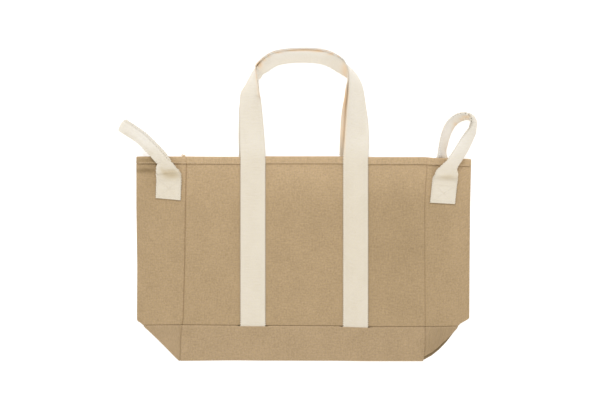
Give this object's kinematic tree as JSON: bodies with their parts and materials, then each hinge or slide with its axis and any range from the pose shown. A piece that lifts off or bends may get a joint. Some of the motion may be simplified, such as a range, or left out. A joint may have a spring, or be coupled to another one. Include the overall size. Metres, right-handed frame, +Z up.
{
  "type": "market tote",
  "caption": "Open-topped canvas market tote lying flat on its back, with folded end gussets, a base band, long webbing handles and short doubled webbing handles at the ends.",
  "frame": {"origin": "centre of the outline on the floor, under the lying bag", "axes": "+X to the bag's right along its length, +Y from the base to the mouth and the handles, +Z up from the floor"},
  "size_m": [0.5725, 0.5004, 0.0419],
  "materials": {
    "canvas": "undyed slubby plain-weave canvas, matt",
    "band_canvas": "the same canvas, cut as the base and its bands",
    "webbing": "cream cotton webbing, herringbone ribs and picot edges"
  },
  "bodies": {
    "root": {"front_panel": "canvas", "back_panel": "canvas", "left_gusset": "canvas", "right_gusset": "canvas", "base_band": "band_canvas", "left_gusset_band": "band_canvas", "right_gusset_band": "band_canvas", "front_handle": "webbing", "back_handle": "webbing", "left_side_handle": "webbing", "right_side_handle": "webbing"}
  },
  "joints": []
}
